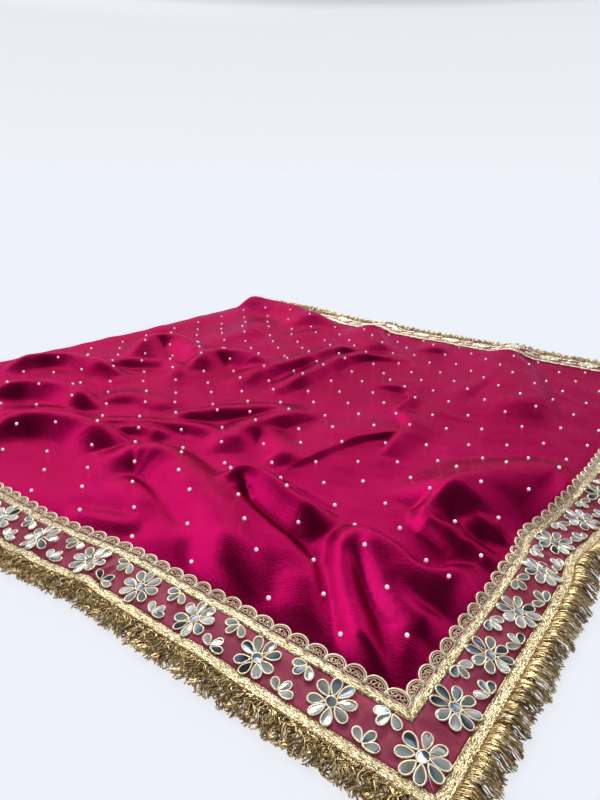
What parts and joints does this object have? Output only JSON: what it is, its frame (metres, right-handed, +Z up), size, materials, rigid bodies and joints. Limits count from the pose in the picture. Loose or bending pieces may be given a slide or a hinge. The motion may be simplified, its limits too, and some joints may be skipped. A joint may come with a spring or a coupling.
{
  "type": "saree",
  "caption": "Satin saree laid out on a floor, its mirror-work lace border on three sides, folds across the face, the rest of its length folded beneath.",
  "frame": {"origin": "middle of the footprint, on the floor the saree lies on", "axes": "+X along the saree's length towards the pallu end, +Y across its width towards the far long edge, +Z up"},
  "size_m": [1.0974, 1.1778, 0.0454],
  "materials": {
    "magenta_satin": "glossy satin weave",
    "satin_reverse": "dull reverse of the satin",
    "rose_organza": "sheer organza",
    "gold_braid": "metallic braid",
    "cream_cord": "twisted cord",
    "gold_thread": "metallic thread"
  },
  "bodies": {
    "root": {"satin_panel": "magenta_satin", "folded_layers": "satin_reverse", "near_outer_braid": "gold_braid", "near_mirror_band": "rose_organza", "near_inner_braid": "gold_braid", "near_scalloped_edging": "cream_cord", "near_fringe": "gold_thread", "end_outer_braid": "gold_braid", "end_mirror_band": "rose_organza", "end_inner_braid": "gold_braid", "end_scalloped_edging": "cream_cord", "end_fringe": "gold_thread", "far_outer_braid": "gold_braid", "far_mirror_band": "rose_organza", "far_inner_braid": "gold_braid", "far_scalloped_edging": "cream_cord", "far_fringe": "gold_thread"}
  },
  "joints": []
}
